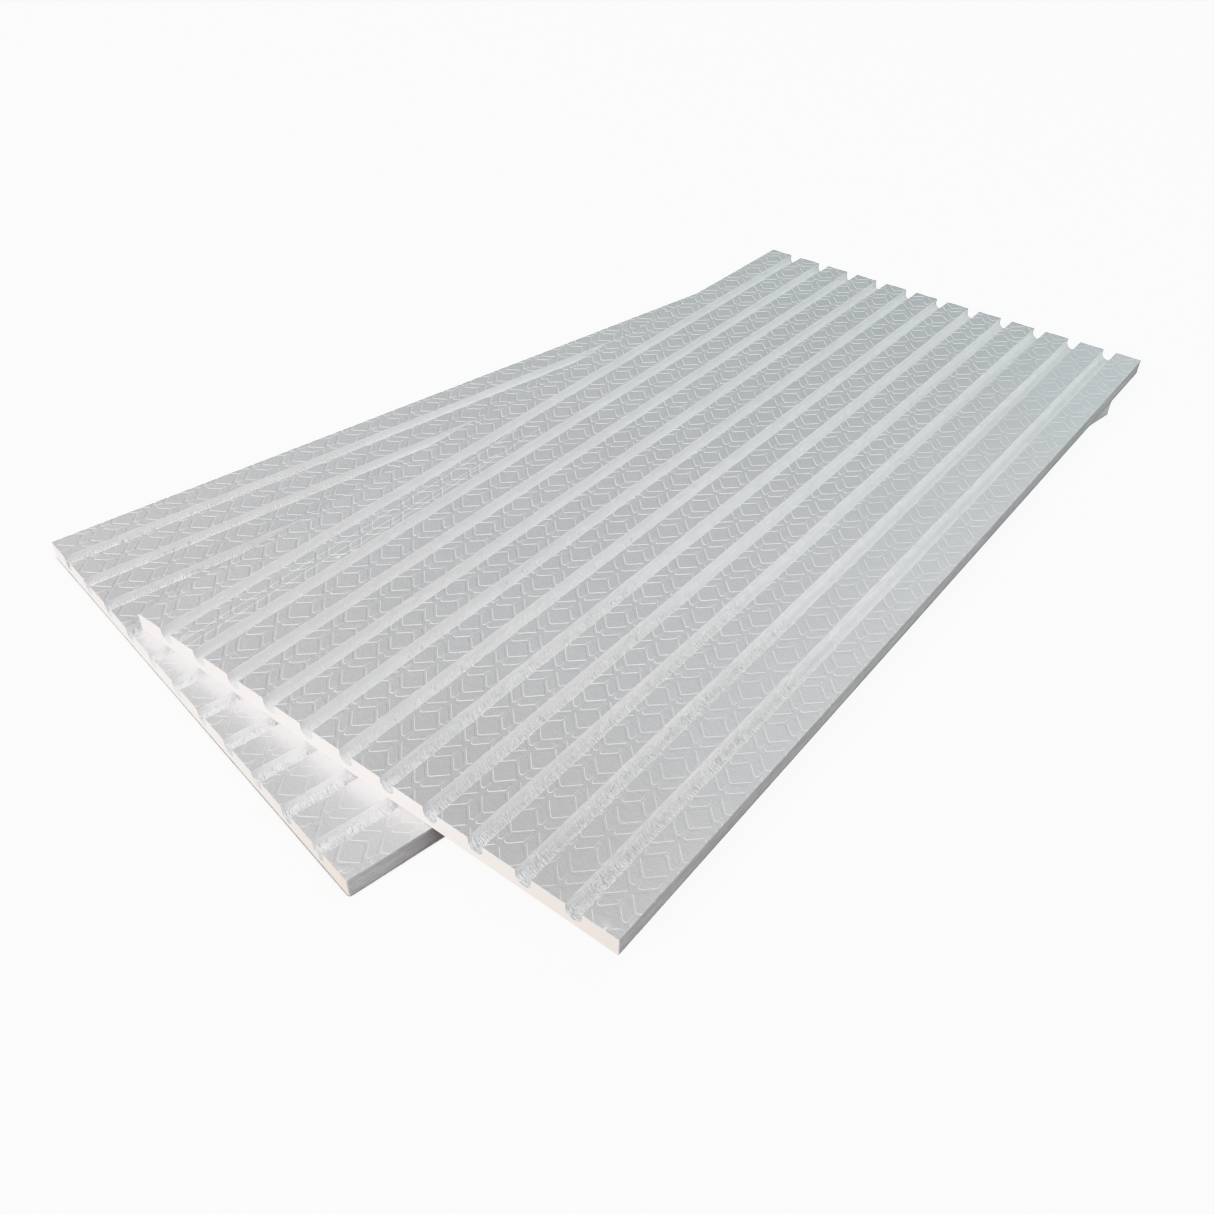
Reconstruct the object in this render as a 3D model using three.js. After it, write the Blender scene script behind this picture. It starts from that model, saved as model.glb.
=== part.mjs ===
// Grooved foam insulation boards: a stack of two identical rigid boards, the
// upper one lying flat above the lower one, which is turned to fan the stack out.
// Units are millimetres, +Z is up. X runs across the upper board, Y along it.
// The origin is on the lower board's underside, below the middle of the upper board.
import * as THREE from 'three';

// ---- board --------------------------------------------------------------
const BOARD_WIDTH = 600;        // across the grooves
const BOARD_LENGTH = 1200;      // along the grooves
const BOARD_THICKNESS = 20;

// ---- grooves: full length, equally spaced, open at the top face ---------
const GROOVE_COUNT = 11;
const GROOVE_WIDTH = 16.5;
const GROOVE_DEPTH = 14;        // from the top face to the lowest point of the round bottom
const EDGE_LAND = 35.9;         // flat strip outside the first and last groove
const GROOVE_ARC_STEPS = 14;    // facets round the groove's half-circle bottom

const GROOVE_RADIUS = GROOVE_WIDTH / 2;
const GROOVE_PITCH =
  (BOARD_WIDTH - 2 * EDGE_LAND - GROOVE_WIDTH) / (GROOVE_COUNT - 1);
const FIRST_GROOVE_X = -BOARD_WIDTH / 2 + EDGE_LAND + GROOVE_RADIUS;
const ARC_CENTRE_HEIGHT = BOARD_THICKNESS - GROOVE_DEPTH + GROOVE_RADIUS;

// ---- stack --------------------------------------------------------------
const STACK_GAP = 0.3;          // air between the two boards
const LOWER_TURN_DEG = -10.13;  // the lower board's turn about +Z
const LOWER_CENTRE = { x: -101.3, y: -38.3 };

// Cuts one groove into the top edge of the section, from its +X wall to its -X
// wall. The upright walls run into a half-circle bottom.
function addGroove(section, centreX) {
  section.lineTo(centreX + GROOVE_RADIUS, BOARD_THICKNESS);
  for (let i = 0; i <= GROOVE_ARC_STEPS; i++) {
    const angle = (-Math.PI * i) / GROOVE_ARC_STEPS;
    section.lineTo(
      centreX + GROOVE_RADIUS * Math.cos(angle),
      ARC_CENTRE_HEIGHT + GROOVE_RADIUS * Math.sin(angle),
    );
  }
  section.lineTo(centreX - GROOVE_RADIUS, BOARD_THICKNESS);
}

// The board's cross-section, with its height along the shape's y.
function boardSection() {
  const halfWidth = BOARD_WIDTH / 2;
  const section = new THREE.Shape();
  section.moveTo(-halfWidth, 0);
  section.lineTo(halfWidth, 0);
  section.lineTo(halfWidth, BOARD_THICKNESS);
  // The outline runs anticlockwise, so the grooves come from +X to -X.
  for (let i = GROOVE_COUNT - 1; i >= 0; i--) {
    addGroove(section, FIRST_GROOVE_X + i * GROOVE_PITCH);
  }
  section.lineTo(-halfWidth, BOARD_THICKNESS);
  section.closePath();
  return section;
}

// One board, centred on its own X and Y, standing on Z = 0.
function boardGeometry() {
  const geometry = new THREE.ExtrudeGeometry(boardSection(), {
    depth: BOARD_LENGTH,
    steps: 1,
    bevelEnabled: false,
    curveSegments: 1,
  });
  geometry.rotateX(Math.PI / 2);                    // section up, length along -Y
  geometry.translate(0, BOARD_LENGTH / 2, 0);
  return geometry;
}

function foam(name, color) {
  return new THREE.MeshStandardMaterial({ name, color, roughness: 0.72, metalness: 0 });
}

function board(name, material) {
  const mesh = new THREE.Mesh(boardGeometry(), material);
  mesh.name = name;
  return mesh;
}

// The lower board, in a group that places and turns it.
function placedLowerBoard() {
  const placement = new THREE.Group();
  placement.position.set(LOWER_CENTRE.x, LOWER_CENTRE.y, 0);
  placement.rotation.z = THREE.MathUtils.degToRad(LOWER_TURN_DEG);
  placement.add(board('lower_board', foam('lower_foam', 0xdfe1e3)));
  return placement;
}

function upperBoard() {
  const mesh = board('upper_board', foam('upper_foam', 0xe4e6e7));
  mesh.position.z = BOARD_THICKNESS + STACK_GAP;
  return mesh;
}

const stack = new THREE.Group();
stack.name = 'grooved_foam_boards';
stack.add(placedLowerBoard(), upperBoard());

export default stack;
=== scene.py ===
"""Two white foam boards, the upper lying on the lower, which is turned about the vertical.

Each board has an embossed skin on top and eleven round-bottomed grooves milled along it.
A board is built in millimetres: X across from its left long edge, Y along from its near end,
Z up, with the top skin at 0 and the underside at -THICK. The flat skin between two grooves, or
between a groove and a long edge, is called a land. The mesh is in metres about the board's middle.
"""
import math
import bpy
import numpy as np
from mathutils import Matrix, Vector
from mathutils.geometry import delaunay_2d_cdt


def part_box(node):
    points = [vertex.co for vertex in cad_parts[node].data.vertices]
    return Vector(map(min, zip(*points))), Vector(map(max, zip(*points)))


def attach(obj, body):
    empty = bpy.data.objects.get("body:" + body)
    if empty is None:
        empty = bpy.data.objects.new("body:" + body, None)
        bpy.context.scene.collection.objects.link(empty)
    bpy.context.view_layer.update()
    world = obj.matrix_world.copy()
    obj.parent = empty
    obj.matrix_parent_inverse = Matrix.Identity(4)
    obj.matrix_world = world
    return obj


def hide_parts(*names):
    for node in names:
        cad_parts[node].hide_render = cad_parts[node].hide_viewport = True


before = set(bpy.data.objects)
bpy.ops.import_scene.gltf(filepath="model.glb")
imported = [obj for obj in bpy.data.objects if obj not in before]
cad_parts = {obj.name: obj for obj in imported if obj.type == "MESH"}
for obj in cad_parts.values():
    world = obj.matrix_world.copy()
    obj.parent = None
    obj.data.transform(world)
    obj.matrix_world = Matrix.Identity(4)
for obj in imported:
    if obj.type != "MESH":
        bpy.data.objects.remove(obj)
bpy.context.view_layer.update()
scene = bpy.context.scene

WIDTH, LENGTH, THICK = 600.0, 1200.0, 20.0
GROOVES = 11
GROOVE_WIDTH, GROOVE_DEPTH = 16.5, 14.0
EDGE = 35.9                         # from a long edge to the nearest groove
PITCH = (WIDTH - 2 * EDGE - GROOVE_WIDTH) / (GROOVES - 1)
RADIUS = GROOVE_WIDTH / 2
WALL = GROOVE_DEPTH - RADIUS        # straight part of a groove's wall
ARC = math.pi * RADIUS
ACROSS = 2 * WALL + ARC             # a groove's profile unrolled, lip to lip
RELIEF = 0.34                       # height of a tile above its channels
BEVEL = 0.29                        # half the width of a bevel
LOWER_TURN = math.radians(-10.13)

SKIN, GROOVE, END, SIDE, UNDER = range(5)   # material slots

# Embossed tiles: a diamond and two leaves, repeated twice in each cell of a lattice
LATTICE_X, LATTICE_Y = 31.74, 62.40
LATTICE_STARTS = ((0.793, 0.666), (0.293, 0.166))   # in cells
DIAMOND = np.array([(13.79, 0), (0, 13.79), (-13.79, 0), (0, -13.79)])
LEAF_LEFT = np.array([(-14.6, -2.9), (-14.6, -14.7), (-1.25, -28.05), (-1.25, -16.25)])
LEAF_RIGHT = (LEAF_LEFT * np.array([-1, 1]))[::-1]

# Fine ridges in the skin of one land, as (x, y) lines
SEAM_LAND = 1
SEAMS = [np.array(line, float) for line in (
    [(68.9, 0), (67.4, 60), (66.7, 120), (65.8, 160), (65.4, 190), (65.1, 230), (64.7, 250),
     (63.1, 270), (62.7, 310), (62.0, 350), (61.8, 380), (61.1, 400), (60, 420), (59.1, 440),
     (58.1, 465), (55.8, 480), (55.1, 505)],
    [(77.2, 0), (77.4, 40), (76.4, 85), (76.2, 120), (75.8, 165), (75.1, 190), (75.3, 230),
     (75.1, 310), (74.2, 340), (74.9, 380), (75.2, 425), (75, 450)],
    [(83.1, 190), (83.6, 210), (83.1, 250), (82.7, 290), (82.2, 320), (81.3, 350), (80.1, 380),
     (79.8, 400), (79.4, 430), (78.3, 460), (77.8, 480), (76.9, 500), (76.2, 525)],
)]
# Left of the first seam the tiles are pressed a little off the lattice
PRESS_END = SEAMS[0][-1, 1]
PRESS_SHIFT = np.array([0.6, -1.3])

# settle: extra thickness below; fine_end: how far along the grooves and lips are finely cut;
# depth: share of the full floor roughness in the left grooves; chatter_from: first finely ringed
# groove; fade: loss of relief toward the right; shift: drift of the tile lattice at (x, y);
# chips: (x, depth) in the near edge; pits: (x, y, radius, depth) in the skin
UPPER_SPEC = {
    "seed": 1101,
    "settle": 0.24,
    "fine_end": 390.0,
    "depth": 0.25,
    "chatter_from": 4,
    "fade": 0.48,
    "shift": lambda x, y: (-0.003 * y, -0.0027 * x),
    "seams": True,
    "chips": [(585.5, 1.5)],
    "pits": [(487, 240, 0.9, 0.8), (177, 260, 0.8, 0.6), (71, 330, 0.7, 0.5),
             (577, 47, 1.0, 0.9)],
}
LOWER_SPEC = {
    "seed": 2207,
    "settle": 0.0,
    "fine_end": 150.0,
    "depth": 0.8,
    "chatter_from": 0,
    "fade": 0.12,
    "shift": lambda x, y: (-0.003 * y + 0.5 - 0.0052 * x, -0.0027 * x + 6.5 + 0.0060 * x),
    "seams": False,
    "chips": [(588.0, 1.2)],
    "pits": [(70, 320, 0.8, 0.6), (22, 520, 0.8, 0.7), (118, 190, 0.8, 0.6)],
}


# ------------------------------------------------------------------------------------------
# Curves and noise
# ------------------------------------------------------------------------------------------
def ease(part):
    return part * part * (3 - 2 * part)


def smooth_noise(along, step, seed):
    """Value noise in -1..1 with features about one step long."""
    scaled = np.asarray(along, float) / step
    cell = np.floor(scaled).astype(int)
    part = ease(scaled - cell)
    table = np.random.default_rng(seed).uniform(-1, 1, 4096)
    return table[cell % 4096] * (1 - part) + table[(cell + 1) % 4096] * part


def step_between(start, stop, value):
    return ease(np.clip((np.asarray(value, float) - start) / (stop - start), 0, 1))


def falloff(distance, reach, peak=1):
    """The peak at no distance, falling by 1 over each reach, and held in 0..1."""
    return np.clip(peak - distance / reach, 0, 1)


def centre_of(k):
    return EDGE + RADIUS + PITCH * k


def x_on(line, y):
    """X of a line that runs along the board, at y."""
    return np.interp(y, line[:, 1], line[:, 0])


def oval(x, y, radius_x, radius_y, count, turn=0):
    angle = np.arange(count) * 2 * math.pi / count + turn
    return np.stack([x + radius_x * np.cos(angle), y + radius_y * np.sin(angle)], 1)


def polyline_distance(points, line):
    start = line[:-1]
    run = line[1:] - start
    offset = points[:, None, :] - start[None]
    part = np.clip((offset * run[None]).sum(2) / (run * run).sum(1)[None], 0, 1)
    return np.linalg.norm(offset - part[..., None] * run[None], axis=2).min(1)


def in_polygon(points, outline):
    following = np.roll(outline, -1, 0)
    run = following - outline
    rise = np.where(run[:, 1] == 0, 1e-12, run[:, 1])
    inside = np.zeros(len(points), bool)
    for i in range(0, len(points), 2000):
        x, y = points[i:i + 2000, 0:1], points[i:i + 2000, 1:2]
        spans = (outline[None, :, 1] > y) != (following[None, :, 1] > y)
        meets = outline[None, :, 0] + (y - outline[None, :, 1]) / rise[None] * run[None, :, 0]
        inside[i:i + 2000] = np.sum(spans & (x < meets), 1) % 2 == 1
    return inside


def inside_margin(points, outline):
    """Signed distance to a closed outline, positive inside."""
    distance = polyline_distance(points, np.vstack([outline, outline[:1]]))
    return np.where(in_polygon(points, outline), distance, -distance)


# ------------------------------------------------------------------------------------------
# Tiles
# ------------------------------------------------------------------------------------------
def move_sides(corners, distance):
    """A convex anticlockwise polygon with each side moved out."""
    sides = []
    for here, following in zip(corners, np.roll(corners, -1, 0)):
        along = (following - here) / np.linalg.norm(following - here)
        sides.append((here + np.array([along[1], -along[0]]) * distance, along))
    moved = []
    for i, (start, along) in enumerate(sides):
        before, along_before = sides[i - 1]
        slopes = np.array([[along_before[0], -along[0]], [along_before[1], -along[1]]])
        moved.append(before + along_before * np.linalg.solve(slopes, start - before)[0])
    return np.array(moved)


def fillet(corners, radii, steps):
    """Round each corner off with its own radius and number of steps."""
    rounded = []
    for i, corner in enumerate(corners):
        back, ahead = corners[i - 1] - corner, corners[(i + 1) % len(corners)] - corner
        back, ahead = back / np.linalg.norm(back), ahead / np.linalg.norm(ahead)
        half = math.acos(np.clip(back @ ahead, -1, 1)) / 2
        cut = radii[i] / math.tan(half)
        bisector = (back + ahead) / np.linalg.norm(back + ahead)
        centre = corner + bisector * (radii[i] / math.sin(half))
        start, stop = corner + back * cut - centre, corner + ahead * cut - centre
        first, last = math.atan2(start[1], start[0]), math.atan2(stop[1], stop[0])
        sweep = (last - first + math.pi) % (2 * math.pi) - math.pi
        for j in range(steps[i] + 1):
            angle = first + sweep * j / steps[i]
            rounded.append(centre + radii[i] * np.array([math.cos(angle), math.sin(angle)]))
    return np.array(rounded)


def tile_shapes():
    """The outlines of each tile's flat top and of the foot of its bevel."""
    shapes = []
    for corners, radii, steps in (
        (DIAMOND, (0.6, 2.0, 0.6, 2.0), (1, 2, 1, 2)),
        (LEAF_LEFT, (2.3, 1.0, 2.3, 1.0), (3, 1, 3, 1)),
        (LEAF_RIGHT, (1.0, 2.3, 1.0, 2.3), (1, 3, 1, 3)),
    ):
        top = fillet(move_sides(corners, -BEVEL), [r - BEVEL * 0.6 for r in radii], steps)
        foot = fillet(move_sides(corners, BEVEL), [r + BEVEL * 0.6 for r in radii], steps)
        shapes.append((top, foot))
    return shapes


SHAPES = tile_shapes()


def tile_rings(centres):
    """Every tile outline at every centre, with its low and high corner."""
    for centre in centres:
        for shape in SHAPES:
            for outline in shape:
                ring = outline + centre
                yield ring, ring.min(0), ring.max(0)


def tile_height(points, centres):
    """0 in a channel, 1 on a tile's flat top, between the two on a bevel."""
    height = np.zeros(len(points))
    order = np.argsort(points[:, 1])
    sorted_y = points[order, 1]
    for centre in centres:
        low, high = np.searchsorted(sorted_y, (centre[1] - 30, centre[1] + 16))
        near = order[low:high]
        near = near[np.abs(points[near, 0] - centre[0]) < 17]
        if not len(near):
            continue
        for top, foot in SHAPES:
            in_top = inside_margin(points[near] - centre, top)
            in_foot = inside_margin(points[near] - centre, foot)
            bevel = in_foot / np.maximum(in_foot - in_top, 1e-9)
            part = np.where(in_top > -1e-6, 1.0, np.where(in_foot < 1e-6, 0.0, bevel))
            height[near] = np.maximum(height[near], part)
    return height


def tile_centres(shift):
    """Lattice centres over the whole board, each moved by the drift at its own place."""
    centres = []
    for j in range(-3, 43):
        for i in range(-3, 24):
            for start_x, start_y in LATTICE_STARTS:
                x = lattice_x = (i + start_x) * LATTICE_X
                y = lattice_y = (j + start_y) * LATTICE_Y
                for _ in range(3):
                    shift_x, shift_y = shift(x, y)
                    x, y = lattice_x + shift_x, lattice_y + shift_y
                if -20 < x < WIDTH + 20 and -20 < y < LENGTH + 35:
                    centres.append((x, y))
    return np.array(centres)


# ------------------------------------------------------------------------------------------
# Flat patches
# ------------------------------------------------------------------------------------------
class Patch:
    """Points and edges in a plane; known is the board point each one already is, or None."""

    def __init__(self):
        self.points, self.known, self.edges = [], [], []

    def put(self, x, y, known=None):
        self.points.append((x, y))
        self.known.append(known)
        return len(self.points) - 1

    def chain(self, points, closed=False):
        ids = [self.put(*point) for point in points]
        self.edges += zip(ids, ids[1:] + (ids[:1] if closed else []))

    def triangulate(self, outline):
        """Anticlockwise constrained Delaunay triangles inside a loop of point numbers.

        Returns the points, some new where lines cross, the triangles, and for each point
        its number in the patch or -1.
        """
        loop = list(zip(outline, outline[1:] + outline[:1]))
        points = [Vector(point) for point in self.points]
        found = delaunay_2d_cdt(points, loop + self.edges, [], 0, 1e-6, True)
        flat = np.array([(point[0], point[1]) for point in found[0]], float)
        tri = np.array([face for face in found[2]], int)
        source = np.array([ids[0] if len(ids) else -1 for ids in found[3]], int)
        tri = tri[in_polygon(flat[tri].mean(1), np.asarray(self.points, float)[outline])]
        first = flat[tri[:, 0]]
        one, two = flat[tri[:, 1]] - first, flat[tri[:, 2]] - first
        clockwise = one[:, 0] * two[:, 1] - one[:, 1] * two[:, 0] < 0
        tri[clockwise] = tri[clockwise][:, ::-1]
        return flat, tri, source


def border_loop(tri, start):
    """The boundary of the triangles, anticlockwise from start."""
    sides = {side for a, b, c in tri for side in ((a, b), (b, c), (c, a))}
    following = {a: b for a, b in sides if (b, a) not in sides}
    loop = [start]
    while following[loop[-1]] != start:
        loop.append(following[loop[-1]])
    return loop


def groove_rows(count):
    """Distances across an unrolled groove, with its arc in count steps."""
    arc = [WALL + ARC * i / count for i in range(1, count)]
    return [WALL * 0.5, WALL] + arc + [WALL + ARC, WALL * 1.5 + ARC]


def groove_profile(across):
    """(x, z) from a groove's centre line and the normal into the air, across from its left lip."""
    if across <= WALL:
        return -RADIUS, -across, 1, 0
    if across >= WALL + ARC:
        return RADIUS, -(ACROSS - across), -1, 0
    angle = math.pi + (across - WALL) / RADIUS
    cos, sin = np.cos(angle), np.sin(angle)
    return RADIUS * cos, -WALL + RADIUS * sin, -cos, -sin


# ------------------------------------------------------------------------------------------
# A board
# ------------------------------------------------------------------------------------------
class Board:
    """One closed mesh; every patch shares its border points with its neighbours.

    emb is the tile height; tone is above 0 where the foam is drawn paler (burrs, seams, and painted
    highlights on the raised milled rings) and below 0 where it is drawn darker (painted shadow in a
    chip's notch).
    """

    def __init__(self, spec):
        self.spec, self.seed = spec, spec["seed"]
        self.rng = np.random.default_rng(self.seed)
        self.bottom = -THICK - spec["settle"]
        self.tiles = tile_centres(spec["shift"])
        self.points, self.emb, self.tone = [], [], []
        self.tri, self.slots, self.smooth = [], [], []

    def jitter(self, size, count=None):
        return self.rng.uniform(-size, size, count)

    def point(self, place, emb=0.0, tone=0.0):
        self.points.append(place)
        self.emb.append(emb)
        self.tone.append(tone)
        return len(self.points) - 1

    def add(self, tri, new, slot, smooth=True, flip=False):
        order = -1 if flip else 1
        self.tri += [tuple(new[face])[::order] for face in tri]
        self.slots += [slot] * len(tri)
        self.smooth += [smooth] * len(tri)

    def stitch(self, patch, outline, place, slot, smooth=True, flip=False):
        """Add a patch; place makes a board point from (x, y, patch number).

        Returns a function that turns a list of patch numbers into board points.
        """
        flat, tri, source = patch.triangulate(outline)
        new = np.full(len(flat), -1, int)
        board_of = {}
        for i in np.unique(tri):
            number = int(source[i])
            known = patch.known[number] if number >= 0 else None
            new[i] = place(*flat[i], number) if known is None else known
            board_of[number] = int(new[i])
        self.add(tri, new, slot, smooth, flip)
        return lambda numbers: [board_of[number] for number in numbers]

    # Borders, as arrays of (x, y, lift)
    def end_line(self, x, far):
        """Y of the slightly uneven near or far end."""
        uneven = (0.10 * smooth_noise(x, 35, self.seed + 70 + far)
                  + 0.04 * smooth_noise(x, 5, self.seed + 72 + far))
        return LENGTH - 0.12 - uneven * 0.9 if far else 0.12 + uneven * 0.9

    def border(self, x, y, lift):
        y[0], y[-1] = self.end_line(x[0], False), self.end_line(x[-1], True)
        return np.stack([x, y, lift], 1)

    def left_lip(self, k):
        y = np.arange(0, LENGTH + 0.01, 7.5)
        y[1:-1] += self.jitter(2.4, len(y) - 2)
        wander = 0.10 * smooth_noise(y, 80, self.seed + 3 * k + 6)
        x = centre_of(k) - RADIUS + wander + 0.07 * self.jitter(1, len(y))
        return self.border(x, y, np.zeros(len(y)))

    def right_lip(self, k):
        """The torn lip of a groove, ragged and standing a little proud."""
        seed = self.seed
        fine_end = self.spec["fine_end"] + 60 * math.sin(k * 2.1)
        y = [0.0]
        while y[-1] < LENGTH:
            step = 1.35 if y[-1] < fine_end else 3.4
            y.append(y[-1] + step * self.rng.uniform(0.75, 1.25))
        y = np.array(y[:-1] + [LENGTH])
        if y[-1] - y[-2] < 0.5:
            y = np.delete(y, -2)
        ragged = (0.45 + 0.35 * smooth_noise(y, 45, seed + 11 * k)
                  + 0.25 * smooth_noise(y, 9, seed + 11 * k + 1))
        ragged = np.clip(ragged, 0.06, 1.0) * (1.0 - 0.45 * step_between(500, 1000, y))
        tooth = self.jitter(1, len(y))
        x = (centre_of(k) + RADIUS + 0.13 * smooth_noise(y, 70, seed + 3 * k + 5)
             + 0.13 * ragged * tooth)
        burr = np.clip(self.rng.uniform(-0.5, 1, len(y)), 0, 1) ** 1.5 * 0.42 * ragged
        burr[[0, -1]] = 0
        return self.border(x, y, burr)

    def long_edge(self, side):
        """A long edge, pressed in and down; side is -1 for the left and 1 for the right."""
        y = np.arange(0, LENGTH + 0.01, 6.0)
        y[1:-1] += self.jitter(2.2, len(y) - 2)
        inward = (0.10 + 0.16 * np.abs(smooth_noise(y, 60, self.seed + 31 + side))
                  + 0.22 * np.clip(self.rng.uniform(-1.6, 1, len(y)), 0, 1))
        drop = -0.10 - 0.12 * np.abs(smooth_noise(y, 22, self.seed + 37 + side))
        return self.border(inward if side < 0 else WIDTH - inward, y, drop)

    def end_points(self, left, right, far):
        """Points each 5 mm along a land's end, clear of its corners."""
        row = -1 if far else 0
        start = math.ceil((left[row, 0] + 2.5) / 5.0) * 5.0
        x = np.arange(start, right[row, 0] - 2.4, 5.0)
        return np.stack([x, self.end_line(x, far)], 1)

    # Lands
    def seam_chains(self, patch, tiles, seams, x_low):
        """Lines for the shifted tiles left of the first seam, and for the seams."""
        shifted = tiles + PRESS_SHIFT
        for ring, low, high in tile_rings(shifted[shifted[:, 1] < PRESS_END]):
            whole = high[0] > x_low and high[1] < PRESS_END and low[1] > 0.5
            if whole and (ring[:, 0] < x_on(seams[0], ring[:, 1])).any():
                patch.chain(ring, closed=True)
        for seam in seams:
            for offset in (-0.50, -0.1, 0.1, 0.50):
                y = np.arange(seam[0, 1], seam[-1, 1], 9.0)
                x = np.interp(y, seam[:, 1], seam[:, 0] + offset)
                x = x + 0.12 * smooth_noise(y, 16, self.seed + 300 + int(seam[0, 0]))
                y[0] = max(y[0], 0.6)
                patch.chain(np.stack([x, y], 1))

    def rim_chains(self, patch, n, left):
        """Narrow rims that keep an uneven border from tilting the whole land."""
        if n > 0:
            y = np.arange(2.0, LENGTH - 1.5, 6.0)
            y = y + self.jitter(1.5, len(y))
            x = np.maximum(x_on(left, y), centre_of(n - 1) + RADIUS) + 0.95
            patch.chain(np.stack([x, y], 1))
        if n in (0, GROOVES):
            y = np.arange(2.0, LENGTH - 1.5, 9.0)
            x = (WIDTH - 1.25 if n else 1.25) + self.jitter(0.2, len(y))
            patch.chain(np.stack([x, y], 1))

    def surface(self, flat, used, tiles, borders, seams, chips, pits):
        """Tile height, Z and tone of a land's points."""
        x, y = flat[:, 0], flat[:, 1]
        emb = np.zeros(len(flat))
        emb[used] = tile_height(flat[used], tiles)
        if seams:
            pressed = (x[used] < x_on(seams[0], y[used]) - 0.2) & (y[used] < PRESS_END)
            emb[used[pressed]] = tile_height(flat[used[pressed]], tiles + PRESS_SHIFT)
        z = (emb - 1) * RELIEF * (1.12 - self.spec["fade"] * step_between(430, 520, x))
        tone = np.zeros(len(flat))
        for seam in seams:
            near = used[(x[used] > seam[:, 0].min() - 3) & (x[used] < seam[:, 0].max() + 3)]
            ridge = falloff(polyline_distance(flat[near], seam), reach=0.42, peak=1.25)
            z[near] = z[near] + ridge * 0.24
            tone[near] = np.maximum(tone[near], ridge)
        for pit_x, pit_y, radius, depth in pits:
            z = z - depth * falloff(np.hypot((x - pit_x) / 1.3, y - pit_y), radius * 1.02)
        for border in borders:
            lift = np.interp(y, border[:, 1], border[:, 2])
            near = falloff(np.abs(x - x_on(border, y)), reach=0.55)
            z = z + lift * near
            tone = np.maximum(tone, near * np.clip(lift / 0.15, 0, 1))
        # a chip is a notch, with a painted shadow in it, and a pale burr beyond it
        for chip_x, depth in chips:
            z = z - 0.5 * falloff(np.hypot(x - chip_x, y - depth), reach=1.2)
            burr = falloff(np.hypot(x - chip_x - 0.2, y - depth - 1.4), reach=0.90, peak=1.6)
            z = z + 0.75 * burr
            tone = np.maximum(tone, burr)
            tone = np.where(np.hypot(x - chip_x, y - depth * 0.6) < 0.95, -0.9, tone)
        return emb, np.minimum(z, 0.45), tone

    def land(self, n, left, right):
        """One land; returns its four borders, ends from left to right and sides from the near end."""
        x_low, x_high = left[:, 0].min(), right[:, 0].max()
        chips = [chip for chip in self.spec["chips"] if x_low + 3 < chip[0] < x_high - 3]
        pits = [pit for pit in self.spec["pits"] if x_low + 1 < pit[0] < x_high - 1]
        seams = SEAMS if self.spec["seams"] and n == SEAM_LAND else []
        tiles = self.tiles[(self.tiles[:, 0] > x_low - 17) & (self.tiles[:, 0] < x_high + 17)]

        near = self.end_points(left, right, False)
        for x, depth in chips:
            near = near[np.abs(near[:, 0] - x) > 2.4]
            notch = [(x - 1.5, 0.15), (x - 0.8, depth), (x + 0.5, depth * 0.8), (x + 1.4, 0.15)]
            near = np.concatenate([near, np.array(notch)])
            near = near[np.argsort(near[:, 0])]
        far = self.end_points(left, right, True)[::-1]

        patch = Patch()
        sides = (left[:1, :2], near, right[:, :2], far, left[::-1][:-1, :2])
        outline = [patch.put(*point) for point in np.concatenate(sides)]
        for ring, low, high in tile_rings(tiles):
            if (high[0] >= x_low - 0.5 and low[0] <= x_high + 0.5
                    and high[1] >= -0.5 and low[1] <= LENGTH + 0.5):
                patch.chain(ring, closed=True)
        if seams:
            self.seam_chains(patch, tiles, seams, x_low)
        self.rim_chains(patch, n, left)
        for x, depth in chips:
            patch.chain(oval(x + 0.2, depth + 1.4, 0.7, 0.6, count=6), closed=True)
            patch.chain(oval(x + 0.2, depth + 1.5, 1.2, 1.0, count=6), closed=True)
            patch.put(x + 0.2, depth + 1.4)
        for x, y, radius, _ in pits:
            patch.chain(oval(x, y, radius * 1.3, radius, count=7, turn=x), closed=True)
            patch.put(x, y)

        flat, tri, source = patch.triangulate(outline)
        used = np.unique(tri)
        emb, z, tone = self.surface(flat, used, tiles, (left, right), seams, chips, pits)
        new = np.full(len(flat), -1, int)
        for i in used:
            new[i] = self.point((flat[i, 0], flat[i, 1], z[i]), float(emb[i]), float(tone[i]))
        self.add(tri, new, SKIN, smooth=False)

        to_right = len(near) + len(right)
        corners = (0, 1 + len(near), to_right, to_right + len(far) + 1)
        found = {int(source[i]): i for i in used if source[i] in corners}
        loop = border_loop(tri, found[0])
        near_right, far_right, far_left = (loop.index(found[c]) for c in corners[1:])
        loop = [new[i] for i in loop]
        return {
            "near": loop[:near_right + 1],
            "right": loop[near_right:far_right + 1],
            "far": loop[far_right:far_left + 1][::-1],
            "left": (loop[far_left:] + loop[:1])[::-1],
        }

    # Grooves
    def groove(self, k, left, right):
        """A groove between two lips, laid out as (distance across, y)."""
        spec, rng = self.spec, self.rng
        patch = Patch()
        near, far = (
            [patch.put(s, start + (stop - start) * s / ACROSS + 0.07 * self.jitter(1))
             for s in groove_rows(12)]
            for start, stop in ((self.points[left[i]][1], self.points[right[i]][1])
                                for i in (0, -1))
        )
        left_ids = [patch.put(0.0, self.points[i][1], i) for i in left]
        right_ids = [patch.put(ACROSS, self.points[i][1], i) for i in right]
        outline = [left_ids[0]] + near + right_ids + far[::-1] + left_ids[::-1][:-1]

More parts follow.
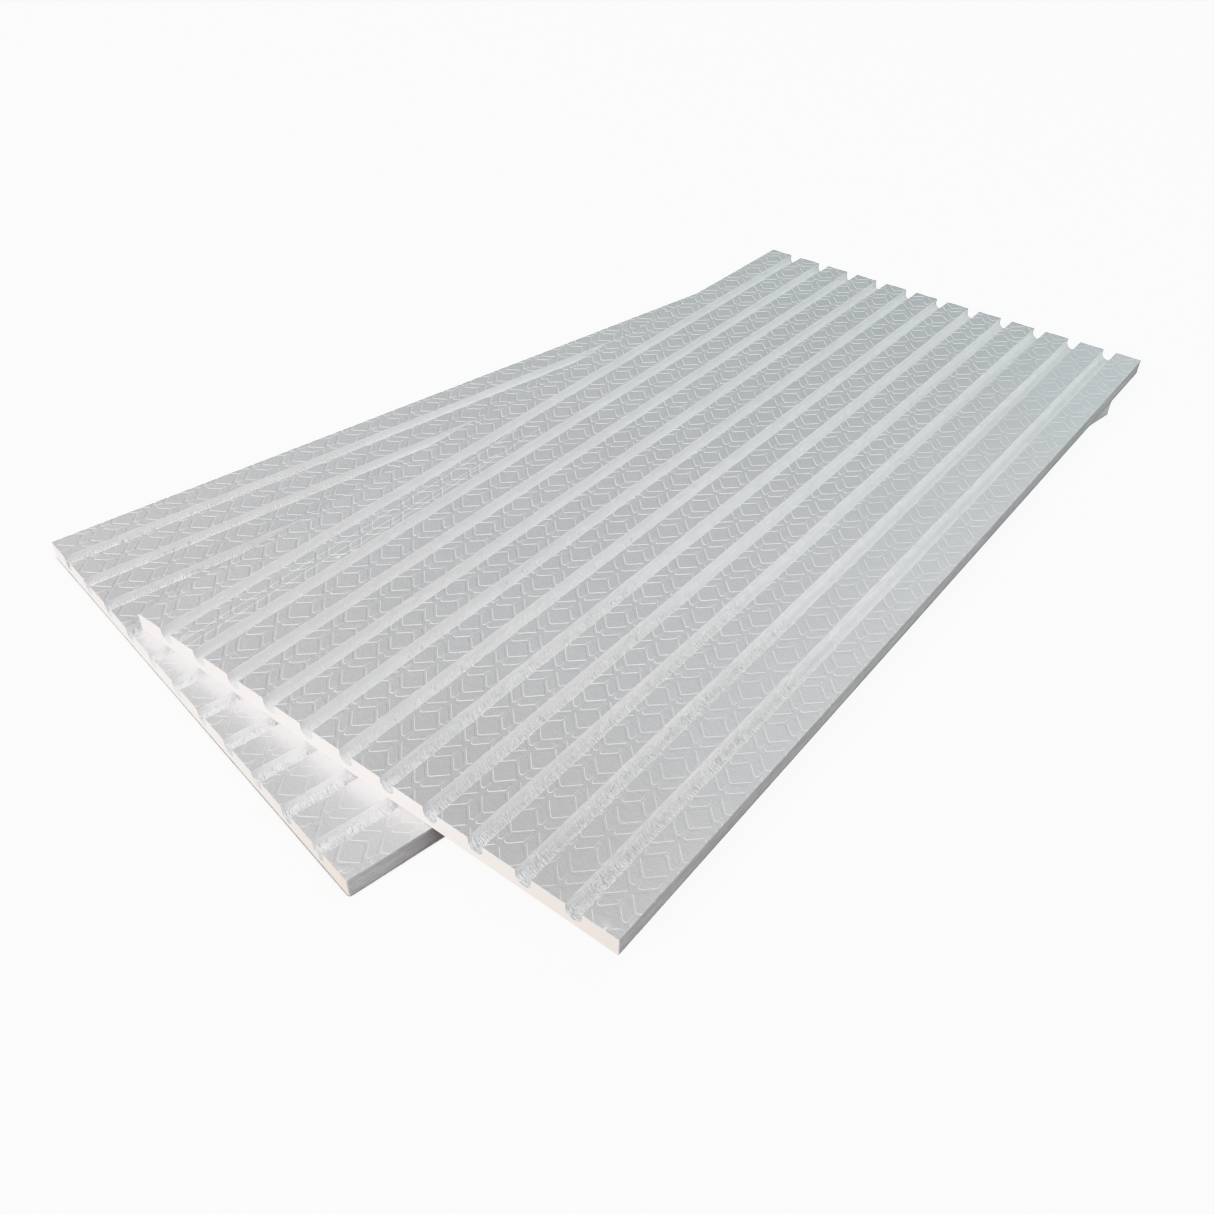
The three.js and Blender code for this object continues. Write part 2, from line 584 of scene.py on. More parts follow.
        # milled rings: alternate ridges and furrows across the round floor
        rows = [(s, step_between(WALL * 0.9, WALL + 2.2, s)
                 * step_between(ACROSS - WALL * 0.9, ACROSS - WALL - 2.2, s))
                for s in groove_rows(8)]
        height = {}
        fine_end = spec["fine_end"] + 40 * math.sin(k * 1.7)
        drift = smooth_noise(np.arange(0, 1300), 90, self.seed + 500 + k)
        depth = 0.72 * (spec["depth"] + (1 - spec["depth"]) * float(step_between(3.5, 7.0, k)))
        y = 1.4
        ring = 0
        while y < LENGTH - 2.5:
            fine = y < fine_end and k >= spec["chatter_from"]
            gap = ((0.80 if k >= 6 else 1.3) if fine else 6.6) * rng.uniform(0.66, 1.34)
            strength = rng.uniform(0.2, 1.0)
            wander = drift[int(y)]
            lean = 0.10 + 0.05 * wander + (0.09 * self.jitter(1) if fine else 0.0)
            sign = 1 if ring % 2 else -1
            for s, on_arc in rows:
                if fine and ((on_arc < 0.2 and ring % 4) or (s > ACROSS * 0.56 and ring % 3)):
                    continue
                ring_y = y + lean * (s - ACROSS / 2) + self.jitter(0.24) * (1 if fine else 4)
                if ring_y < 1.2 or ring_y > LENGTH - 1.2:
                    continue
                if fine:
                    swell = sign * 0.20 * (0.5 * strength + 0.5 * rng.uniform(0, 1))
                    rise = on_arc * (swell + 0.13 * self.jitter(1)) + 0.02 * self.jitter(1)
                else:
                    rise = on_arc * 0.12 * self.jitter(1) + 0.02 * self.jitter(1)
                height[patch.put(s, ring_y)] = (rise + 0.10 * wander * on_arc) * depth
            y += gap
            ring += 1

        def place(s, y, number):
            x, z, normal_x, normal_z = groove_profile(s)
            rise = height.get(number, 0.0)
            spot = (centre_of(k) + x + normal_x * rise, y, z + normal_z * rise)
            return self.point(spot, 0.0, float(np.clip(rise * 3, -1, 1)))

        board_of = self.stitch(patch, outline, place, GROOVE)
        return {"near": board_of(near), "far": board_of(far)}

    # Long sides, cut ends and underside
    def side(self, edge, sign):
        """A long side, slightly hollow, laid out as (y, z)."""
        depths = (1.1, 3.2, 6.5, 10.0, 13.5, 17.0, 19.1)
        patch = Patch()
        top = [patch.put(self.points[i][1], self.points[i][2], i) for i in edge]
        start, stop = self.points[edge[0]][1], self.points[edge[-1]][1]
        near = [patch.put(start, -depth) for depth in depths]
        far = [patch.put(stop, -depth) for depth in depths]
        bottom = [patch.put(y, self.bottom) for y in np.linspace(start, stop, 61)]
        for y in np.arange(6.0, LENGTH - 4.0, 9.0):
            for depth in depths:
                patch.put(y + self.jitter(2), -depth + self.jitter(0.3))

        def place(y, z, _):
            hollow = (0.42 * math.sin(math.pi * min(1.0, -z / THICK))
                      + 0.10 * smooth_noise(y, 130, self.seed + 90 + int(-z))
                      + 0.06 * self.jitter(1))
            hollow = max(0.02, hollow) if -z < 19.9 else 0.12
            return self.point((WIDTH - hollow if sign > 0 else hollow, y, z))

        outline = bottom + far[::-1] + top[::-1] + near
        board_of = self.stitch(patch, outline, place, SIDE, flip=sign < 0)
        return {"near": board_of(near), "far": board_of(far), "bottom": board_of(bottom)}

    def end(self, far, lands, grooves, left_side, right_side):
        """A cut end, laid out as (x, z); returns its bottom edge from left to right."""
        key = "far" if far else "near"
        chain = left_side[key][::-1]
        for n in range(GROOVES + 1):
            chain += lands[n][key]
            if n < GROOVES:
                chain += grooves[n][key]
        chain += right_side[key]
        left, right = (side["bottom"][-1 if far else 0] for side in (left_side, right_side))
        y = self.points[left][1]
        inner = [self.point((x, y, self.bottom)) for x in np.linspace(0, WIDTH, 25)[1:-1]]
        floor = [left] + inner + [right]
        patch = Patch()
        outline = [patch.put(self.points[i][0], self.points[i][2], i)
                   for i in floor + chain[::-1]]
        for x in np.arange(4.0, WIDTH - 3.0, 6.0):
            patch.put(x + self.jitter(1), -17.2 + self.jitter(0.5))
        for n in range(GROOVES + 1):
            start = (centre_of(n - 1) + RADIUS if n else 0) + 4
            stop = (centre_of(n) - RADIUS if n < GROOVES else WIDTH) - 3.9
            for x in np.arange(start, stop, 6.5):
                for z in (-4.0, -8.5, -13.0):
                    patch.put(x + self.jitter(1), z + self.jitter(0.6))

        def place(x, z, _):
            uneven = 0.10 * float(smooth_noise(x, 25, self.seed + 8))
            inward = 0.14 + uneven + 0.03 * self.jitter(1)
            return self.point((x, LENGTH - inward if far else inward, z))

        self.stitch(patch, outline, place, END, flip=far)
        return floor

    def underside(self, near, far, left, right):
        patch = Patch()
        loop = near + right[1:] + far[::-1][1:] + left[::-1][1:-1]
        outline = [patch.put(self.points[i][0], self.points[i][1], i) for i in loop]
        for x in np.arange(25.0, WIDTH, 25.0):
            for y in np.arange(20.0, LENGTH, 25.0):
                patch.put(x + self.jitter(4), y + self.jitter(4))

        def place(x, y, _):
            return self.point((x, y, self.bottom + 0.02 + 0.02 * self.jitter(1)))

        self.stitch(patch, outline, place, UNDER, smooth=False, flip=True)

    def build(self):
        borders = [self.long_edge(-1)]
        for k in range(GROOVES):
            borders += [self.left_lip(k), self.right_lip(k)]
        borders.append(self.long_edge(1))
        lands = [self.land(n, *borders[2 * n:2 * n + 2]) for n in range(GROOVES + 1)]
        grooves = [self.groove(k, lands[k]["right"], lands[k + 1]["left"])
                   for k in range(GROOVES)]
        left_side = self.side(lands[0]["left"], -1)
        right_side = self.side(lands[-1]["right"], 1)
        near, far = (self.end(is_far, lands, grooves, left_side, right_side)
                     for is_far in (False, True))
        self.underside(near, far, left_side["bottom"], right_side["bottom"])

    def make_object(self, name):
        places = (np.array(self.points, float) - np.array([WIDTH / 2, LENGTH / 2, 0.0])) / 1000.0
        faces = [tuple(int(i) for i in face) for face in self.tri]
        mesh = bpy.data.meshes.new(name)
        mesh.from_pydata(places.tolist(), [], faces)
        mesh.polygons.foreach_set("material_index", np.array(self.slots, np.int32))
        mesh.polygons.foreach_set("use_smooth", np.array(self.smooth, bool))
        for label, values in (("emb", self.emb), ("tone", self.tone)):
            attribute = mesh.attributes.new(label, "FLOAT", "POINT")
            attribute.data.foreach_set("value", np.array(values, np.float32))
        mesh.validate(verbose=False)
        mesh.update()
        mark_sharp(mesh)
        obj = bpy.data.objects.new(name, mesh)
        scene.collection.objects.link(obj)
        return obj


def mark_sharp(mesh):
    """Sharpen the edges where an end, a side or the underside meets another material."""
    slots = np.zeros(len(mesh.polygons), np.int32)
    mesh.polygons.foreach_get("material_index", slots)
    loop_edge = np.zeros(len(mesh.loops), np.int32)
    mesh.loops.foreach_get("edge_index", loop_edge)
    loop_slot = np.repeat(slots, 3)
    least, most = np.full(len(mesh.edges), 99), np.full(len(mesh.edges), -1)
    np.minimum.at(least, loop_edge, loop_slot)
    np.maximum.at(most, loop_edge, loop_slot)
    flag = (mesh.attributes.get("sharp_edge")
            or mesh.attributes.new("sharp_edge", "BOOLEAN", "EDGE"))
    flag.data.foreach_set("value", (least != most) & (most >= END))


def build_board(name, spec):
    board = Board(spec)
    board.build()
    return board.make_object(name)


upper = build_board("upper_foam_board", UPPER_SPEC)
lower = build_board("lower_foam_board", LOWER_SPEC)

upper_low, upper_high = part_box("upper_board")
lower_low, lower_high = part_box("lower_board")


def top_centre(low, high):
    return Matrix.Translation(((low.x + high.x) / 2, (low.y + high.y) / 2, high.z))


upper.matrix_world = top_centre(upper_low, upper_high)
lower.matrix_world = top_centre(lower_low, lower_high) @ Matrix.Rotation(LOWER_TURN, 4, "Z")


def press_lips():
    """Flatten the lower board's torn lips (in metres) where the upper board lies on them."""
    flat_height, free_height = 0.00002, 0.0005
    flat_to, rise_over = 0.004, 0.006      # distance out from the upper board
    for vertex in lower.data.vertices:
        place = lower.matrix_world @ vertex.co
        out_x = max(upper_low.x - place.x, place.x - upper_high.x, 0.0)
        out_y = max(upper_low.y - place.y, place.y - upper_high.y, 0.0)
        free = max(0.0, (math.hypot(out_x, out_y) - flat_to) / rise_over)
        vertex.co.z = min(vertex.co.z, flat_height + free_height * free)
    lower.data.update()


press_lips()


# ------------------------------------------------------------------------------------------
# Materials. Positions in them are metres from the board's middle.
# ------------------------------------------------------------------------------------------
class Shader:
    """Short ways to add nodes to a tree."""

    def __init__(self, tree):
        self.tree = tree
        self.coord = self.new("ShaderNodeTexCoord")

    def feed(self, socket, value):
        if isinstance(value, bpy.types.NodeSocket):
            self.tree.links.new(value, socket)
        else:
            socket.default_value = value

    def new(self, kind, inputs=None, **props):
        node = self.tree.nodes.new(kind)
        for key, value in props.items():
            setattr(node, key, value)
        for key, value in (inputs or {}).items():
            self.feed(node.inputs[key], value)
        return node

    def mapped(self, stretch=(1, 1, 1), turn=(0, 0, 0)):
        """Object coordinates, scaled, and turned by degrees."""
        return self.new("ShaderNodeMapping", {
            "Vector": self.coord.outputs["Object"],
            "Scale": stretch,
            "Rotation": tuple(math.radians(angle) for angle in turn),
        }).outputs[0]

    def noise(self, scale, detail=2.0, rough=0.5, distortion=0.0, **mapping):
        return self.new("ShaderNodeTexNoise", {
            "Vector": self.mapped(**mapping), "Scale": scale, "Detail": detail,
            "Roughness": rough, "Distortion": distortion,
        }).outputs["Fac"]

    def math(self, operation, first, second=0.0):
        return self.new("ShaderNodeMath", {0: first, 1: second}, operation=operation).outputs[0]

    def times(self, product, *factors):
        for factor in factors:
            product = self.math("MULTIPLY", product, factor)
        return product

    def ramp(self, value, over=(0.3, 0.7), to=(0.0, 1.0), **props):
        """Map one range to another, clamped; the default range is the middle of a noise."""
        return self.new("ShaderNodeMapRange", {
            "Value": value, "From Min": over[0], "From Max": over[1],
            "To Min": to[0], "To Max": to[1],
        }, **props).outputs["Result"]

    def mix(self, factor, base, toward, **props):
        inputs = {0: factor, 6: base, 7: toward}
        for key in (6, 7):
            if isinstance(inputs[key], tuple):
                inputs[key] = (*inputs[key], 1)
        return self.new("ShaderNodeMix", inputs, data_type="RGBA", **props).outputs[2]

    def tint(self, base, by, toward, over=(0.3, 0.7), most=1.0):
        """Mix toward a colour, up to most, as a value crosses a range."""
        return self.mix(self.ramp(by, over, (0.0, most)), base, toward)


class Material(Shader):
    def __init__(self, name):
        self.data = bpy.data.materials.new(name)
        self.data.use_nodes = True
        self.data.node_tree.nodes.clear()
        super().__init__(self.data.node_tree)
        self.out = self.new("ShaderNodeOutputMaterial")
        self.bsdf = self.new("ShaderNodeBsdfPrincipled")
        self.feed(self.out.inputs[0], self.bsdf.outputs[0])
        self.normal = None

    def set(self, **values):
        """Feed the principled shader's inputs, named in lower case with underscores."""
        for key, value in values.items():
            name = key.replace("_", " ").title().replace("Ior", "IOR")
            self.feed(self.bsdf.inputs[name], value)

    def position(self):
        inputs = {0: self.coord.outputs["Object"]}
        return list(self.new("ShaderNodeSeparateXYZ", inputs).outputs)

    def attribute(self, name):
        return self.new("ShaderNodeAttribute", attribute_name=name).outputs["Fac"]

    def cast(self, base, y, start=-0.50, near=1.020, far=0.964):
        """Painted light: a faint cool tint along the board, as from cooler light toward the far end;
        the red is scaled by near, then by far.
        """
        drift = self.tint((near, 1.0, 1.0), y, (far, 1.0, 1.0), over=(start, 0.45))
        return self.mix(1.0, base, drift, blend_type="MULTIPLY")

    def bump(self, height, strength, distance):
        """Lay a bump over those before it."""
        inputs = {"Strength": strength, "Distance": distance, "Height": height}
        if self.normal is not None:
            inputs["Normal"] = self.normal
        self.normal = self.new("ShaderNodeBump", inputs).outputs[0]
        self.set(normal=self.normal)


def skin_material(name, near_shade):
    mat = Material(name)
    emb, tone = mat.attribute("emb"), mat.attribute("tone")
    x, y, _ = mat.position()
    # whiter where the skin is stretched over a bevel, broken up along the line; part of it is a
    # painted highlight on the bevel lines, weaker at the right
    bevel = mat.times(emb, mat.math("SUBTRACT", 1.0, emb), 4.0)
    breakup = mat.ramp(mat.noise(scale=55, detail=3, rough=0.6), over=(0.32, 0.66), to=(0.35, 1))
    stretch = mat.times(bevel, breakup, mat.ramp(x, over=(0.13, 0.23), to=(1.0, 0.72)))
    cloud = mat.noise(scale=5, detail=3, rough=0.55, stretch=(1, 1, 0.2))
    fine = mat.noise(scale=420, detail=3, rough=0.6, distortion=0.6, stretch=(1, 1, 0.2))
    base = mat.tint((0.506, 0.511, 0.516), cloud, toward=(0.536, 0.541, 0.546))
    streak = mat.noise(scale=800, detail=3, rough=0.6, distortion=0.5,
                       stretch=(0.22, 1, 1), turn=(0, 0, -7))
    base = mat.tint(base, streak, toward=(0.67, 0.677, 0.685), over=(0.46, 0.66), most=0.26)
    base = mat.tint(base, fine, toward=(0.43, 0.436, 0.442), over=(0.38, 0.64), most=0.26)
    # paler away from a line just left of the middle, and more so at the right: partly paler skin
    # toward the edges, partly painted light
    rightward = mat.ramp(x, over=(0.04, 0.22))
    extra = mat.times(rightward, mat.ramp(y, over=(-0.42, -0.02)), 0.20)
    pale_edges_and_painted_light = mat.math("ADD", 0.24, extra)
    off = mat.times(mat.math("ADD", x, 0.06), 3.33)
    base = mat.mix(mat.times(off, off, pale_edges_and_painted_light), base, toward=(0.66, 0.664, 0.668))
    # painted shade near the near end, right of the middle
    painted_shade = mat.times(mat.ramp(x, over=(-0.04, 0.12)),
                     mat.ramp(x, over=(0.23, 0.30), to=(1.0, 0.55)),
                     mat.ramp(y, over=(-0.36, -0.56), to=(0.0, near_shade)))
    base = mat.mix(painted_shade, base, toward=(0.40, 0.402, 0.405))
    base = mat.cast(base, y)
    # painted highlight on the bevel lines, stronger toward the far end
    whitening_and_painted_light = mat.times(stretch, mat.ramp(y, over=(-0.5, 0.2), to=(0.72, 0.96)))
    base = mat.mix(whitening_and_painted_light, base, toward=(0.84, 0.847, 0.852))
    base = mat.tint(base, tone, toward=(0.90, 0.905, 0.905), over=(0.15, 0.9), most=0.9)
    # painted shadow in a chip's notch, where tone is below 0
    base = mat.tint(base, tone, toward=(0.20, 0.205, 0.21), over=(-0.1, -0.9), most=0.75)
    mat.set(base_color=base, roughness=mat.ramp(mat.noise(scale=40), to=(0.30, 0.42)),
            specular_ior_level=0.95)
    # fine drawn lines in the skin, and a soft orange-peel
    peel = mat.noise(scale=110, detail=3, rough=0.55)
    mat.bump(fine, strength=0.45, distance=0.0006)
    mat.bump(streak, strength=0.35, distance=0.0004)
    mat.bump(peel, strength=0.35, distance=0.0012)
    return mat.data


def groove_material(name, left_depth):
    mat = Material(name)
    tone = mat.attribute("tone")
    x, y, z = mat.position()
    on_floor = mat.ramp(z, over=(-0.0048, -0.0080))
    grain = mat.noise(scale=900, detail=3, rough=0.6)
    ring = mat.noise(scale=560, rough=0.55, distortion=0.9,
                     stretch=(0.36, 1, 0.36), turn=(0, 0, -8))
    depth = mat.times(mat.ramp(x, over=(-0.06, 0.14), to=(left_depth, 1.0)),
                      mat.ramp(y, over=(-0.14, -0.30), to=(0.10, 1.0)))
    cloud = mat.noise(scale=9)
    rightward = mat.ramp(x, over=(-0.06, 0.20))
    along = mat.ramp(y, over=(-0.56, -0.40))
    # walls, with painted light making them whiter to the right and along the board
    wall = mat.tint((0.846, 0.848, 0.851), cloud, toward=(0.872, 0.874, 0.877))
    whitening_and_painted_light = mat.times(rightward, mat.math("ADD", 0.22, mat.times(along, 0.66)))
    wall = mat.mix(whitening_and_painted_light, wall, toward=(0.985, 0.988, 0.99))
    # round floor, with painted light making it whiter to the right and painted shade greying the very
    # bottom
    floor = mat.tint((0.822, 0.825, 0.828), cloud, toward=(0.850, 0.853, 0.856))
    fading = mat.times(along, mat.ramp(y, over=(-0.30, 0.0), to=(0.50, 0.14)))
    whitening_and_painted_light = mat.times(rightward, mat.math("ADD", 0.28, fading))
    floor = mat.mix(whitening_and_painted_light, floor, toward=(0.96, 0.963, 0.965))
    bottom_shade = mat.math("ADD", mat.ramp(y, over=(0.0, 0.30), to=(0.38, 0.50)),
                    mat.times(rightward, 0.38))
    bottom = mat.times(mat.ramp(z, over=(-0.0096, -0.0134)), bottom_shade)
    # painted highlights on the milled rings, and on the raised rings through tone
    ridges = mat.times(mat.ramp(ring, over=(0.52, 0.66), to=(0.0, 0.50)), depth)
    floor = mat.mix(ridges, floor, toward=(0.90, 0.905, 0.905))
    floor = mat.tint(floor, tone, toward=(0.93, 0.93, 0.93), over=(0.05, 0.6), most=0.35)
    # painted shade at the very bottom of the round floor
    floor = mat.mix(bottom, floor, toward=(0.60, 0.602, 0.605))
    base = mat.mix(on_floor, wall, floor)
    base = mat.tint(base, grain, toward=(0.93, 0.935, 0.935), over=(0.5, 0.8), most=0.25)
    from_middle = mat.math("ABSOLUTE", y)
    base = mat.cast(base, y, start=-0.36, near=1.007, far=0.972)
    # painted shade in the groove mouths at both ends
    base = mat.tint(base, from_middle, toward=(0.64, 0.642, 0.645), over=(0.592, 0.6), most=0.14)
    mat.set(base_color=base, roughness=mat.ramp(grain, to=(0.60, 0.85)), specular_ior_level=0.3,
            subsurface_weight=mat.ramp(from_middle, over=(0.588, 0.598), to=(0.40, 0.0)),
            subsurface_radius=(1.0, 1.0, 1.0), subsurface_scale=0.006)
    rings = mat.times(mat.ramp(ring, over=(0.38, 0.62)), depth,
                      mat.ramp(on_floor, over=(0.0, 1.0), to=(0.04, 1.0)))
    mat.bump(rings, strength=0.8, distance=0.0007)
    nearer = mat.ramp(y, over=(-0.1, -0.4), to=(0.35, 1.0))
    mat.bump(mat.times(grain, nearer), strength=0.25, distance=0.0004)
    return mat.data


def end_material():
    mat = Material("foam_cut_end")
    cells = mat.new("ShaderNodeTexVoronoi", {"Vector": mat.mapped(), "Scale": 1100.0})
    saw = mat.noise(scale=420, detail=3, rough=0.55, stretch=(1, 0.2, 0.10))
    cloud = mat.noise(scale=12)
    base = mat.tint((0.915, 0.882, 0.862), cloud, toward=(0.945, 0.922, 0.908))
    base = mat.tint(base, saw, toward=(0.86, 0.815, 0.79), over=(0.45, 0.8), most=0.22)
    x, _, z = mat.position()
    # painted shade: the end darker and warmer toward the right
    base = mat.tint(base, x, toward=(0.755, 0.700, 0.655), over=(0.05, 0.29))
    # painted shadow: a dark line along part of the bottom edge
    part = mat.times(mat.ramp(x, over=(0.04, 0.10)),
                     mat.ramp(x, over=(0.16, 0.27), to=(0.75, 0.0)))
    painted_shadow_line = mat.times(mat.ramp(z, over=(-0.0196, -0.0199)), part)
    base = mat.mix(painted_shadow_line, base, toward=(0.16, 0.13, 0.115))
    mat.set(base_color=base, roughness=mat.ramp(saw, to=(0.78, 0.95)), specular_ior_level=0.2)
    mat.bump(saw, strength=0.35, distance=0.0005)
    mat.bump(cells.outputs["Distance"], strength=0.25, distance=0.0003)
    return mat.data


def side_material(name, shade):
    mat = Material(name)
    streak = mat.noise(scale=520, detail=4, rough=0.62, stretch=(1, 0.045, 1))
    fibre = mat.noise(scale=640, detail=3, rough=0.6, distortion=0.6,
                      stretch=(1, 0.16, 1), turn=(9, 0, 0))
    broad = mat.noise(scale=120, detail=3, rough=0.55, stretch=(1, 0.06, 1))
    pores = mat.noise(scale=700, rough=0.6)
    base = mat.tint((0.60, 0.607, 0.612), broad, toward=(0.77, 0.776, 0.780))
    base = mat.tint(base, streak, toward=(0.90, 0.905, 0.905), over=(0.52, 0.68), most=0.55)
    base = mat.tint(base, fibre, toward=(0.93, 0.935, 0.935), over=(0.56, 0.70), most=0.65)
    base = mat.tint(base, fibre, toward=(0.42, 0.425, 0.43), over=(0.44, 0.32), most=0.6)
    base = mat.tint(base, pores, toward=(0.45, 0.455, 0.46), over=(0.62, 0.8), most=0.35)
    _, y, z = mat.position()
    # painted shade toward the bottom, a painted highlight along the top edge, and paler at both ends
    base = mat.tint(base, z, toward=(0.50, 0.505, 0.51), over=(-0.0135, -0.0180), most=0.5)
    base = mat.tint(base, z, toward=(0.92, 0.92, 0.92), over=(-0.0022, -0.0004), most=0.45)
    from_middle = mat.math("ABSOLUTE", y)
    base = mat.tint(base, from_middle, toward=(0.95, 0.95, 0.95), over=(0.5980, 0.5992),
                    most=0.75)
    base = mat.cast(base, y)
    if shade:
        # painted shadow on a stretch toward the near end, under the upper board, and painted light at
        # the far end
        painted_shade = mat.times(mat.ramp(y, over=(-0.570, -0.500), to=(0.0, shade)),
                         mat.ramp(y, over=(-0.44, -0.25), to=(1.0, 0.0)))
        base = mat.mix(painted_shade, base, toward=(0.22, 0.212, 0.208))
        base = mat.tint(base, y, toward=(0.97, 0.98, 0.98), over=(0.46, 0.56), most=0.7)
    mat.set(base_color=base, roughness=mat.ramp(streak, to=(0.55, 0.8)), specular_ior_level=0.35)
    mat.bump(streak, strength=0.45, distance=0.0005)
    mat.bump(fibre, strength=0.6, distance=0.0007)
    mat.bump(pores, strength=0.2, distance=0.0003)
    return mat.data


def under_material():
    mat = Material("foam_underside")
    streak = mat.noise(scale=260, detail=3, rough=0.6, stretch=(1, 0.1, 1))
    cloud = mat.noise(scale=6, detail=3)
    base = mat.tint((0.60, 0.61, 0.62), cloud, toward=(0.66, 0.668, 0.675))
    base = mat.tint(base, streak, toward=(0.76, 0.765, 0.77), over=(0.5, 0.8), most=0.3)
    mat.set(base_color=base, roughness=mat.ramp(streak, to=(0.5, 0.7)))
    mat.bump(streak, strength=0.35, distance=0.0005)
    return mat.data


cut_end, underside = end_material(), under_material()
for obj, suffix, near_shade, shade, left_depth in (
    (upper, "", 0.42, 0.0, 0.25),
    (lower, "_low", 0.12, 0.60, 1.0),
):
    skin = skin_material("foam_skin" + suffix, near_shade)
    side = side_material("foam_long_side" + suffix, shade)
    milled = groove_material("foam_milled" + suffix, left_depth)
    for material in (skin, milled, cut_end, side, underside):
        obj.data.materials.append(material)

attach(upper, "top")
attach(lower, "base")
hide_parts("upper_board")
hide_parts("lower_board")


# ------------------------------------------------------------------------------------------
# Floor, light and camera
# ------------------------------------------------------------------------------------------
def floor_material():
    """Glowing white to the camera but for a painted contact shadow beside the boards; dull grey to all
    other rays.
    """
    mat = Material("floor_pale")
    cloudy = mat.ramp(mat.noise(scale=2))
    contact = mat.new("ShaderNodeAmbientOcclusion", {"Distance": 0.005}, samples=8)
    line = mat.ramp(contact.outputs["AO"], over=(0.50, 0.86))
    pale = mat.mix(cloudy, (0.83, 0.83, 0.83), toward=(0.85, 0.85, 0.85))
    mat.set(base_color=mat.mix(line, (0.16, 0.14, 0.13), pale), roughness=0.9,
            specular_ior_level=0.0, emission_color=(1, 1, 1, 1),
            emission_strength=mat.times(line, 1.35))
    bounce = mat.new("ShaderNodeBsdfDiffuse", {"Color": (0.34, 0.335, 0.33, 1)})
    camera_ray = mat.new("ShaderNodeLightPath").outputs["Is Camera Ray"]
    inputs = {0: camera_ray, 1: bounce.outputs[0], 2: mat.bsdf.outputs[0]}
    mat.feed(mat.out.inputs[0], mat.new("ShaderNodeMixShader", inputs).outputs[0])
    return mat.data


def build_floor():
    half, z = 20.0, -0.0004
    mesh = bpy.data.meshes.new("floor")
    corners = [(-half, -half, z), (half, -half, z), (half, half, z), (-half, half, z)]
    mesh.from_pydata(corners, [], [(0, 1, 2, 3)])
    floor = bpy.data.objects.new("floor", mesh)
    scene.collection.objects.link(floor)
    mesh.materials.append(floor_material())


def build_world():
    """An even soft sky with a dim patch and a cool one low beyond the far end; white to the camera."""
    world = bpy.data.worlds.new("studio")
    scene.world = world
    world.use_nodes = True
    sky = Shader(world.node_tree)
    background = world.node_tree.nodes["Background"]

    def facing(direction, over):
        """0 to 1 as the cosine from a direction crosses a range."""
        inputs = {0: sky.coord.outputs["Generated"], 1: direction}
        cosine = sky.new("ShaderNodeVectorMath", inputs, operation="DOT_PRODUCT")
        return sky.ramp(cosine.outputs["Value"], over, interpolation_type="SMOOTHSTEP")

    dim = facing(direction=(-0.468, 0.749, 0.469), over=(0.80, 0.985))
    strength = sky.math("SUBTRACT", 0.56, sky.times(dim, 0.52))
    sky.feed(background.inputs["Strength"], strength)
    cool = facing(direction=(-0.28, 0.86, 0.42), over=(0.74, 0.97))
    colour = sky.mix(cool, (1.0, 0.99, 1.0), toward=(0.30, 0.99, 1.0))
    sky.feed(background.inputs["Color"], colour)
    seen = sky.new("ShaderNodeBackground", {"Color": (1, 1, 1, 1), "Strength": 2.0})
    camera_ray = sky.new("ShaderNodeLightPath").outputs["Is Camera Ray"]
    inputs = {0: camera_ray, 1: background.outputs[0], 2: seen.outputs[0]}
    both = sky.new("ShaderNodeMixShader", inputs)
    sky.feed(world.node_tree.nodes["World Output"].inputs["Surface"], both.outputs[0])


build_floor()
build_world()

WARM = (1.0, 0.985, 0.975)


def add_light(name, kind, colour):
    data = bpy.data.lights.new(name, kind)
    data.color = colour
    light = bpy.data.objects.new(name, data)
    scene.collection.objects.link(light)
    return light, data


def aim(light, azimuth, elevation, distance):
    """Azimuth 0 comes from -Y and 90 from +X, in degrees."""
    turn, rise = math.radians(azimuth), math.radians(elevation)
    towards = Vector((math.sin(turn) * math.cos(rise), -math.cos(turn) * math.cos(rise),
                      math.sin(rise)))
    light.rotation_euler = towards.to_track_quat("Z", "Y").to_euler()
    light.location = towards * distance


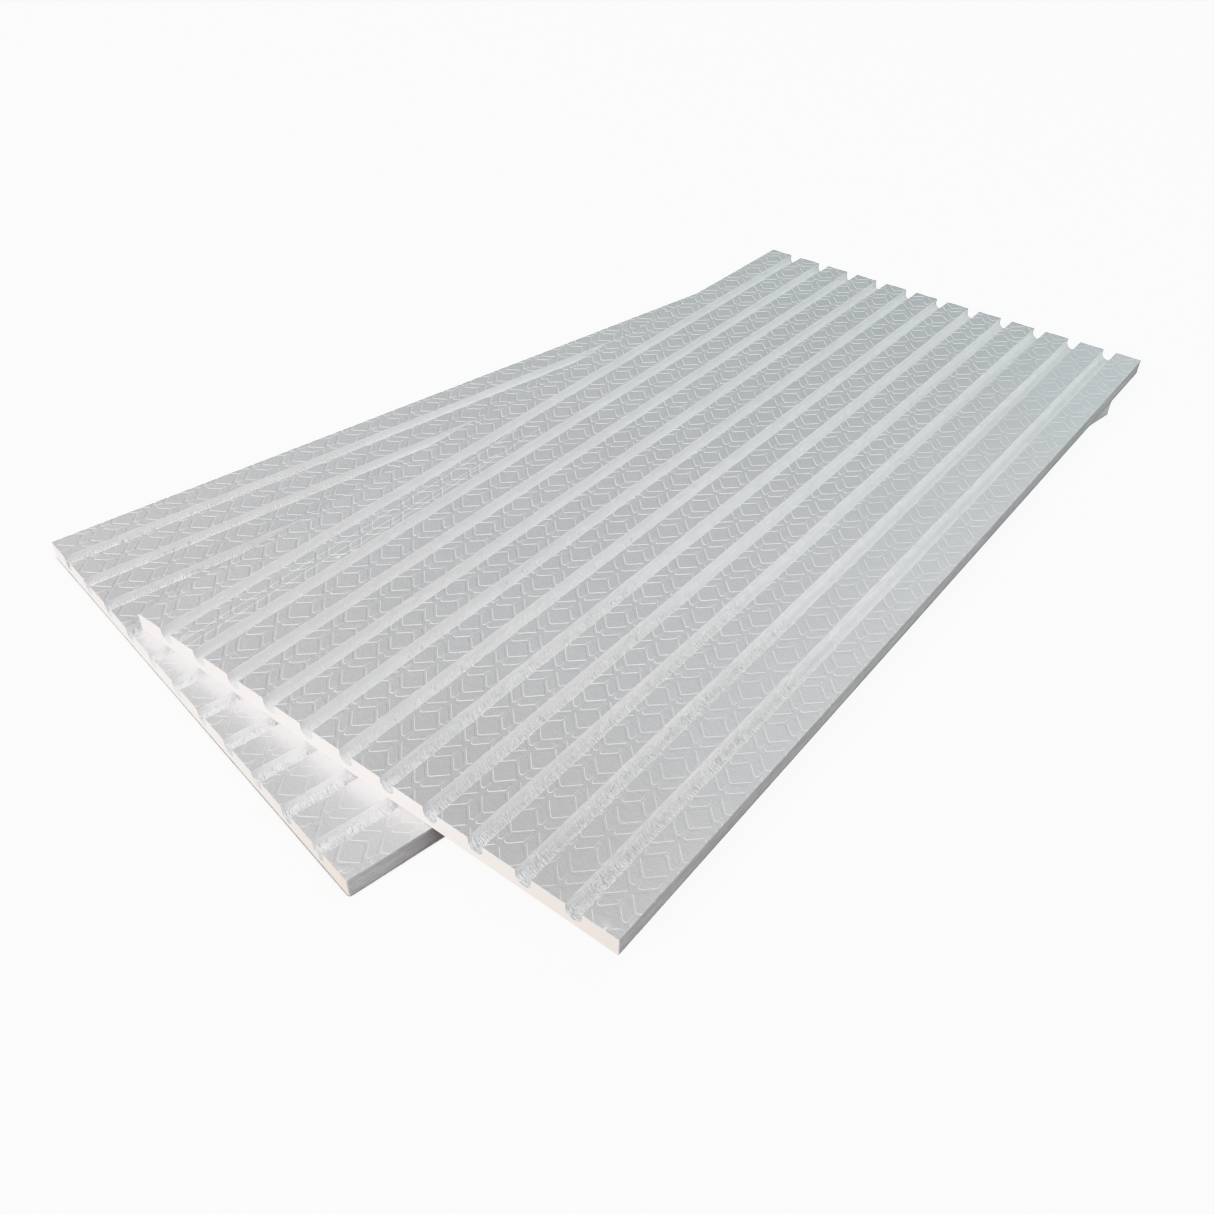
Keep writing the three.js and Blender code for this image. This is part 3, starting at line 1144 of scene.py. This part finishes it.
def key_panel(name, share):
    """A round soft panel far off; share is the part of full white it gives a facing surface."""
    distance, angle = 15.0, 22
    light, data = add_light(name, "AREA", WARM)
    data.shape = "DISK"
    data.size = 2 * distance * math.tan(math.radians(angle / 2))
    data.energy = share * math.pi ** 2 * distance ** 2
    aim(light, azimuth=-9, elevation=31, distance=distance)
    light.visible_camera = False
    return light


def end_light(name, share, height, y, z, towards=None):
    """A strip along the left part of the upper board's near end, carried by that board."""
    light, data = add_light(name, "AREA", WARM)
    data.shape = "RECTANGLE"
    data.size, data.size_y = 0.365, height
    data.energy = share * math.pi * data.size * data.size_y
    light.visible_camera = False
    light.location = (upper_low.x + data.size / 2, y, z)
    if towards:
        light.rotation_euler = Vector(towards).to_track_quat("Z", "Y").to_euler()
    bpy.context.view_layer.update()
    light.parent = upper
    light.matrix_parent_inverse = upper.matrix_world.inverted()


# the key is hidden from reflections, or the skin blows out; the sheen gives a weaker one
key_panel("key_light", share=0.87).visible_glossy = False
key_panel("key_sheen", share=0.14).visible_diffuse = False
fill, fill_data = add_light("fill_light", "SUN", (0.98, 0.99, 1.0))
fill_data.energy = 0.20 * math.pi
fill_data.angle = math.radians(60)
aim(fill, azimuth=75, elevation=60, distance=3)

# light thrown back by the bright cut end on to the lower board
end_light("end_glow", share=0.88, height=0.0198, y=upper_low.y + 0.00002,
          z=(upper_low.z + upper_high.z) / 2, towards=(0, 1, 0))
# a little of it reaches the grooves that run in under the end
end_light("mouth_glow", share=0.75, height=0.014, y=upper_low.y + 0.0078,
          z=lower_high.z + 0.00003)

camera_data = bpy.data.cameras.new("camera")
camera = bpy.data.objects.new("camera", camera_data)
scene.collection.objects.link(camera)
camera_data.sensor_width = 36.0
camera_data.lens = 33.74057002
camera_data.clip_start, camera_data.clip_end = 0.01, 100.0
# columns: the camera's right, up and backward directions
camera_axes = Matrix((
    (0.78919516, -0.40379888, 0.46272828),
    (0.61382014, 0.49421531, -0.61561031),
    (0.01989536, 0.76986862, 0.63789222),
))
camera_place = (0.5848122, -1.0048413, 0.7725217)
camera.matrix_world = Matrix.Translation(camera_place) @ camera_axes.to_4x4()
scene.camera = camera

scene.view_settings.view_transform = "Khronos PBR Neutral"
scene.view_settings.look = "None"
scene.view_settings.exposure = 0.0
scene.view_settings.gamma = 1.0
